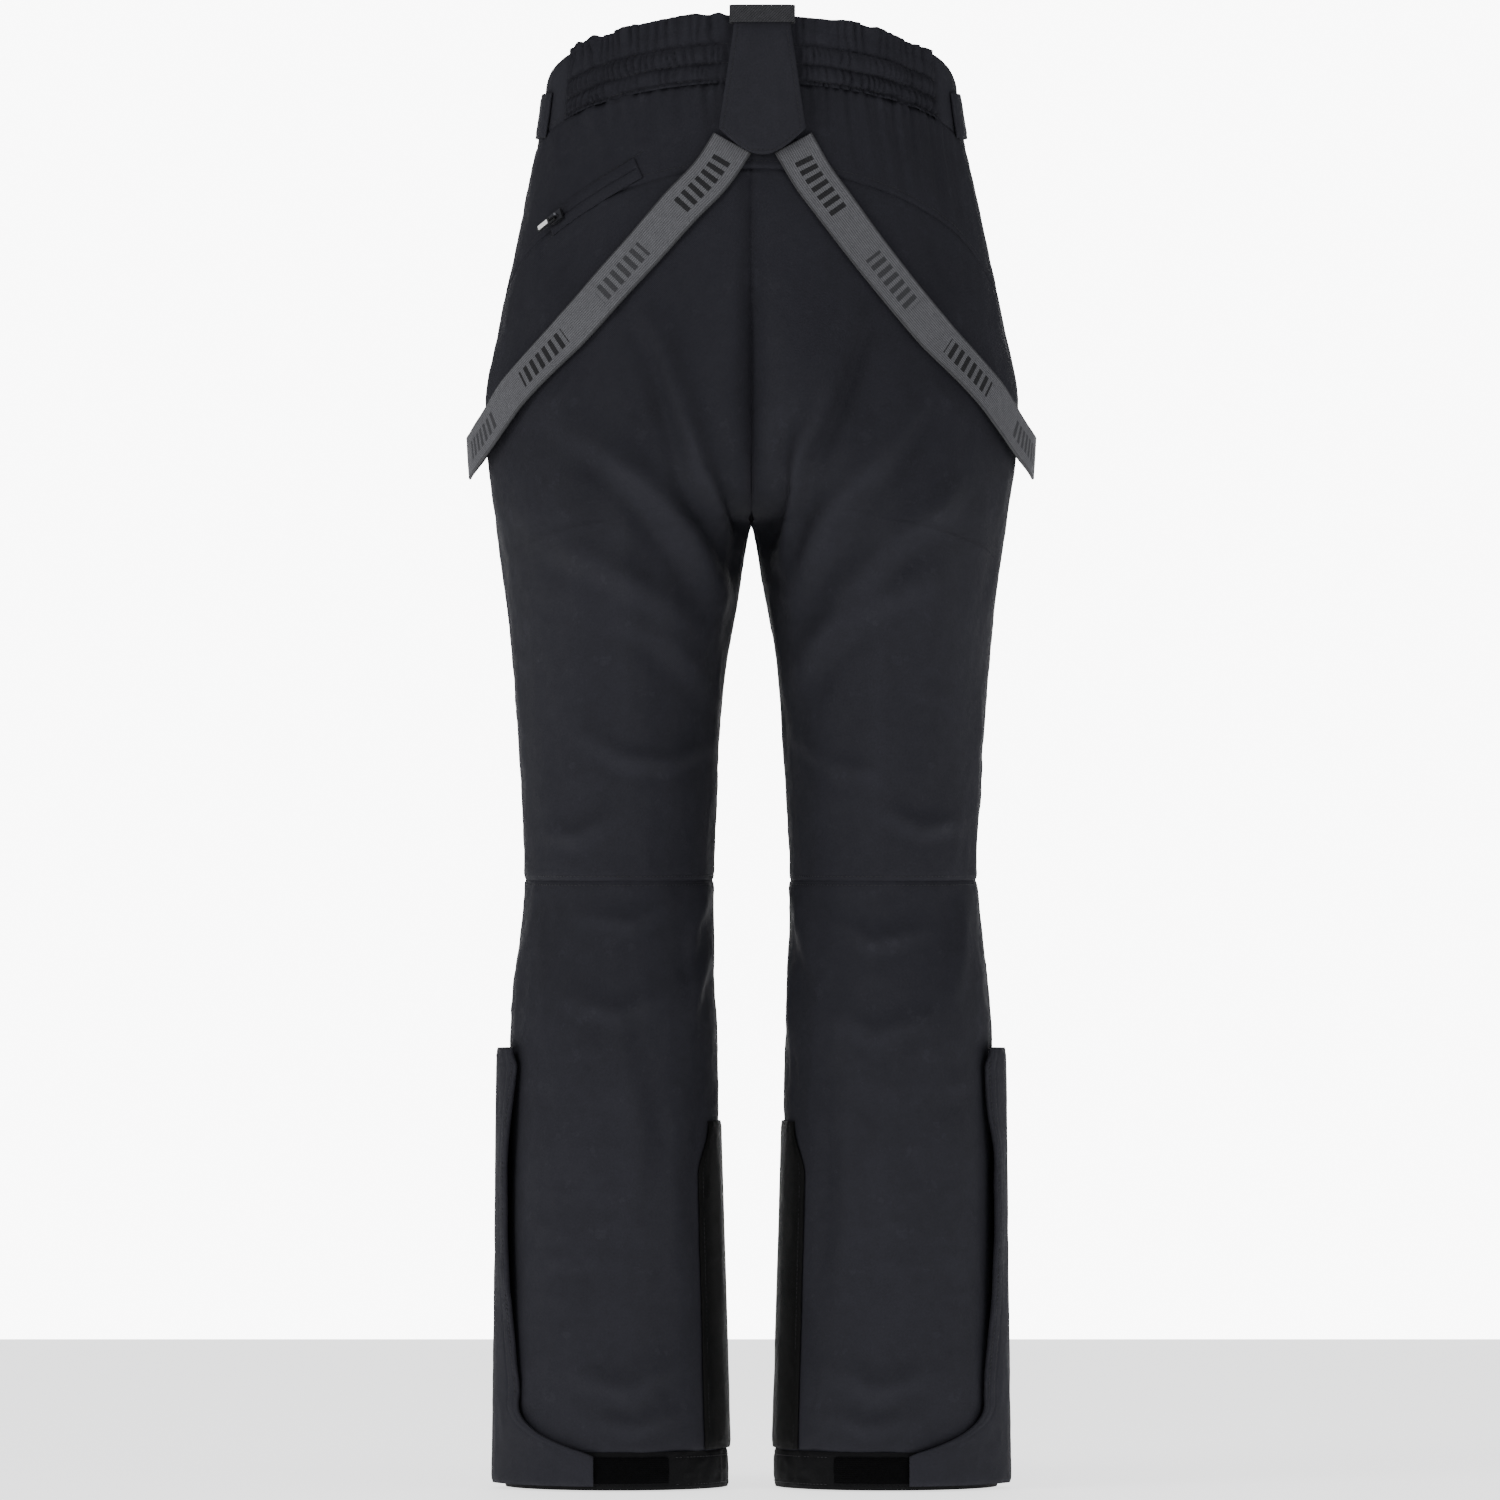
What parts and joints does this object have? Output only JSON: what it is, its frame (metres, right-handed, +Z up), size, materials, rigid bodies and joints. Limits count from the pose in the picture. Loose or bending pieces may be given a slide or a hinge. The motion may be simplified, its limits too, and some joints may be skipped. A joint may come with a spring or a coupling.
{
  "type": "ski pants",
  "caption": "Insulated ski pants with a gathered elastic waist, removable suspender straps from a back tab, side leg zips under flaps and strapped hems.",
  "frame": {"origin": "the centre of the waist opening, level with the top of the waistband at the side seams", "axes": "+Z up the body, +Y to the wearer's front, +X to the wearer's right"},
  "size_m": [0.4234, 0.2716, 1.0943],
  "materials": {
    "shell_fabric": "matt woven nylon",
    "cuff_fabric": "matt rubberised fabric",
    "scuff_guard": "smooth coated abrasion fabric",
    "hook_and_loop": "matt pile",
    "strap_webbing": "ribbed elastic webbing",
    "loop_webbing": "woven tape",
    "strap_plastic": "moulded",
    "snap_metal": "satin dark lacquer",
    "zip_metal": "satin dark lacquer",
    "white_pull": "moulded",
    "dark_pull": "moulded",
    "zip_tape": "woven tape with coil",
    "lining": "plain taffeta",
    "elastic": "knitted elastic"
  },
  "bodies": {
    "trousers": {"back_thigh_right": "shell_fabric", "front_thigh_right": "shell_fabric", "calf_right": "shell_fabric", "shin_right": "shell_fabric", "back_thigh_left": "shell_fabric", "front_thigh_left": "shell_fabric", "calf_left": "shell_fabric", "shin_left": "shell_fabric", "back_yoke": "shell_fabric", "waistband_back": "shell_fabric", "waistband_front_right": "shell_fabric", "waistband_front_left": "shell_fabric", "waist_elastic": "elastic", "waistband_facing": "lining", "fly_zip": "zip_tape", "fly_shield": "lining", "hand_pocket_zip_right": "zip_tape", "hand_pocket_bag_right": "lining", "hand_pocket_zip_left": "zip_tape", "hand_pocket_bag_left": "lining", "back_pocket_zip": "zip_tape", "back_pocket_bag": "lining", "belt_loop_front_right": "loop_webbing", "belt_loop_front_left": "loop_webbing", "belt_loop_back": "loop_webbing", "suspender_strap_right": "strap_webbing", "suspender_front_tab_right": "shell_fabric", "suspender_strap_left": "strap_webbing", "suspender_front_tab_left": "shell_fabric", "hem_cuff_right": "cuff_fabric", "hem_loop_patch_right": "hook_and_loop", "scuff_guard_right": "scuff_guard", "snow_gaiter_right": "lining", "leg_zip_right": "zip_tape", "hem_cuff_left": "cuff_fabric", "hem_loop_patch_left": "hook_and_loop", "scuff_guard_left": "scuff_guard", "snow_gaiter_left": "lining", "leg_zip_left": "zip_tape"},
    "fly_slider": {"fly_slider": "zip_metal"},
    "fly_pull": {"fly_pull": "dark_pull"},
    "hand_pocket_slider_right": {"hand_pocket_slider_right": "zip_metal"},
    "hand_pocket_pull_right": {"hand_pocket_pull_right": "dark_pull"},
    "hand_pocket_slider_left": {"hand_pocket_slider_left": "zip_metal"},
    "hand_pocket_pull_left": {"hand_pocket_pull_left": "dark_pull"},
    "back_pocket_slider": {"back_pocket_slider": "zip_metal"},
    "back_pocket_pull": {"back_pocket_pull": "white_pull"},
    "leg_zip_slider_right": {"leg_zip_slider_right": "zip_metal"},
    "leg_flap_right": {"leg_flap_right": "shell_fabric"},
    "side_adjuster_right": {"side_adjuster_right": "shell_fabric"},
    "strap_glide_right": {"strap_glide_right": "strap_plastic"},
    "leg_zip_slider_left": {"leg_zip_slider_left": "zip_metal"},
    "leg_flap_left": {"leg_flap_left": "shell_fabric"},
    "side_adjuster_left": {"side_adjuster_left": "shell_fabric"},
    "strap_glide_left": {"strap_glide_left": "strap_plastic"},
    "closure_tab": {"closure_tab": "shell_fabric", "snap_cap_lower": "snap_metal", "snap_cap_upper": "snap_metal"},
    "suspender_back_tab": {"suspender_back_tab": "shell_fabric"}
  },
  "joints": [
    {"name": "fly_slider_slide", "type": "slide", "parent": "trousers", "child": "fly_slider", "axis": [0, 0.1043, -0.9945], "range_m": [0, 0.0872]},
    {"name": "fly_pull_swing", "type": "hinge", "parent": "fly_slider", "child": "fly_pull", "pos_m": [0.00002, 0.1183, -0.08594], "axis": [1, -0.0034, -0.0004], "range_deg": [0, 140]},
    {"name": "hand_pocket_slider_right_slide", "type": "hinge", "parent": "trousers", "child": "hand_pocket_slider_right", "pos_m": [-1.02644, -1.13714, -0.26614], "axis": [-0.6294, 0.6764, -0.3825], "range_deg": [0, 3.15]},
    {"name": "hand_pocket_pull_right_swing", "type": "hinge", "parent": "hand_pocket_slider_right", "child": "hand_pocket_pull_right", "pos_m": [0.15386, 0.05582, -0.09799], "axis": [0.5369, -0.7705, 0.3437], "range_deg": [0, 140]},
    {"name": "hand_pocket_slider_left_slide", "type": "hinge", "parent": "trousers", "child": "hand_pocket_slider_left", "pos_m": [1.02644, -1.13714, -0.26614], "axis": [-0.6294, -0.6764, 0.3825], "range_deg": [0, 3.15]},
    {"name": "hand_pocket_pull_left_swing", "type": "hinge", "parent": "hand_pocket_slider_left", "child": "hand_pocket_pull_left", "pos_m": [-0.15386, 0.05582, -0.09799], "axis": [0.5369, 0.7705, -0.3437], "range_deg": [0, 140]},
    {"name": "back_pocket_slider_slide", "type": "hinge", "parent": "trousers", "child": "back_pocket_slider", "pos_m": [-0.0215, 0.08291, -0.10184], "axis": [-0.3934, 0.3042, 0.8676], "range_deg": [0, 18.58]},
    {"name": "back_pocket_pull_swing", "type": "hinge", "parent": "back_pocket_slider", "child": "back_pocket_pull", "pos_m": [-0.14582, -0.07737, -0.10128], "axis": [-0.2303, 0.5179, 0.8239], "range_deg": [0, 140]},
    {"name": "leg_zip_slider_right_slide", "type": "slide", "parent": "trousers", "child": "leg_zip_slider_right", "axis": [-0.0113, -0.0197, 0.9997], "range_m": [0, 0.2601]},
    {"name": "leg_flap_right_open", "type": "hinge", "parent": "trousers", "child": "leg_flap_right", "pos_m": [0.1806, 0.00975, -0.876], "axis": [-0.0114, -0.014, 0.9998], "range_deg": [0, 110]},
    {"name": "side_adjuster_right_open", "type": "hinge", "parent": "trousers", "child": "side_adjuster_right", "pos_m": [0.15051, -0.0319, -0.0245], "axis": [0.1392, -0.0913, -0.986], "range_deg": [0, 110]},
    {"name": "strap_glide_right_slide", "type": "hinge", "parent": "trousers", "child": "strap_glide_right", "pos_m": [0.11508, -0.54564, -0.00404], "axis": [0.8542, 0.1056, 0.5091], "range_deg": [-1.41, 1.41]},
    {"name": "leg_zip_slider_left_slide", "type": "slide", "parent": "trousers", "child": "leg_zip_slider_left", "axis": [0.0113, -0.0197, 0.9997], "range_m": [0, 0.2601]},
    {"name": "leg_flap_left_open", "type": "hinge", "parent": "trousers", "child": "leg_flap_left", "pos_m": [-0.1806, 0.00975, -0.876], "axis": [-0.0114, 0.014, -0.9998], "range_deg": [0, 110]},
    {"name": "side_adjuster_left_open", "type": "hinge", "parent": "trousers", "child": "side_adjuster_left", "pos_m": [-0.15051, -0.0319, -0.0245], "axis": [0.1392, 0.0913, 0.986], "range_deg": [0, 110]},
    {"name": "strap_glide_left_slide", "type": "hinge", "parent": "trousers", "child": "strap_glide_left", "pos_m": [-0.11508, -0.54564, -0.00404], "axis": [0.8542, -0.1056, -0.5091], "range_deg": [-1.41, 1.41]},
    {"name": "closure_tab_open", "type": "hinge", "parent": "trousers", "child": "closure_tab", "pos_m": [-0.03068, 0.10687, -0.044], "axis": [0.036, -0.1065, 0.9937], "range_deg": [0, 115]},
    {"name": "suspender_back_tab_swing", "type": "hinge", "parent": "trousers", "child": "suspender_back_tab", "pos_m": [0.008, -0.10062, 0.04717], "axis": [-1, 0, 0], "range_deg": [0, 10], "deforming": ["suspender_strap_right", "suspender_strap_left"]}
  ]
}
